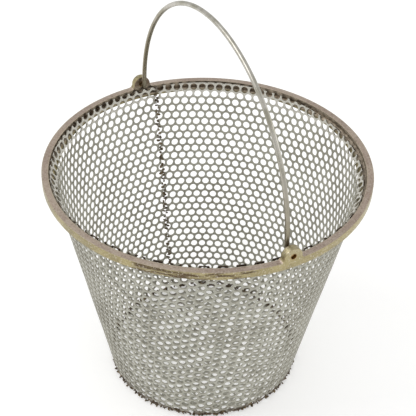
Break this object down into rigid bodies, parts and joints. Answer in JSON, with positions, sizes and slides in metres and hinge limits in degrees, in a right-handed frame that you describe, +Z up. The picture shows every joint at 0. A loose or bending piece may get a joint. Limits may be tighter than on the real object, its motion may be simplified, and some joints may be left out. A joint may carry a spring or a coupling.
{
  "type": "perforated steel basket",
  "caption": "Tapered perforated steel basket with a turned rim, a flat perforated base and a swinging wire bail.",
  "frame": {"origin": "centre of the base's underside, on the surface that the basket stands on", "axes": "+Z up through the open mouth, +X along the bail's pivot from one lug to the other"},
  "size_m": [0.219, 0.219, 0.2792],
  "materials": {
    "rim": "turned steel, heat tinted straw and mauve",
    "perforated_sheet": "dull mill finish",
    "wire": "drawn wire, semi bright",
    "weld": "dark heat oxide"
  },
  "bodies": {
    "basket": {"rim_ring": "rim", "wall_sheet": "perforated_sheet", "base_disc": "perforated_sheet", "seam_weld": "weld", "rim_weld": "weld", "base_weld": "weld"},
    "bail": {"bail_handle": "wire"}
  },
  "joints": [
    {"name": "bail_swing", "type": "hinge", "parent": "basket", "child": "bail", "pos_m": [0, 0, 0.1742], "axis": [1, 0, 0], "range_deg": [-90, 90]}
  ]
}
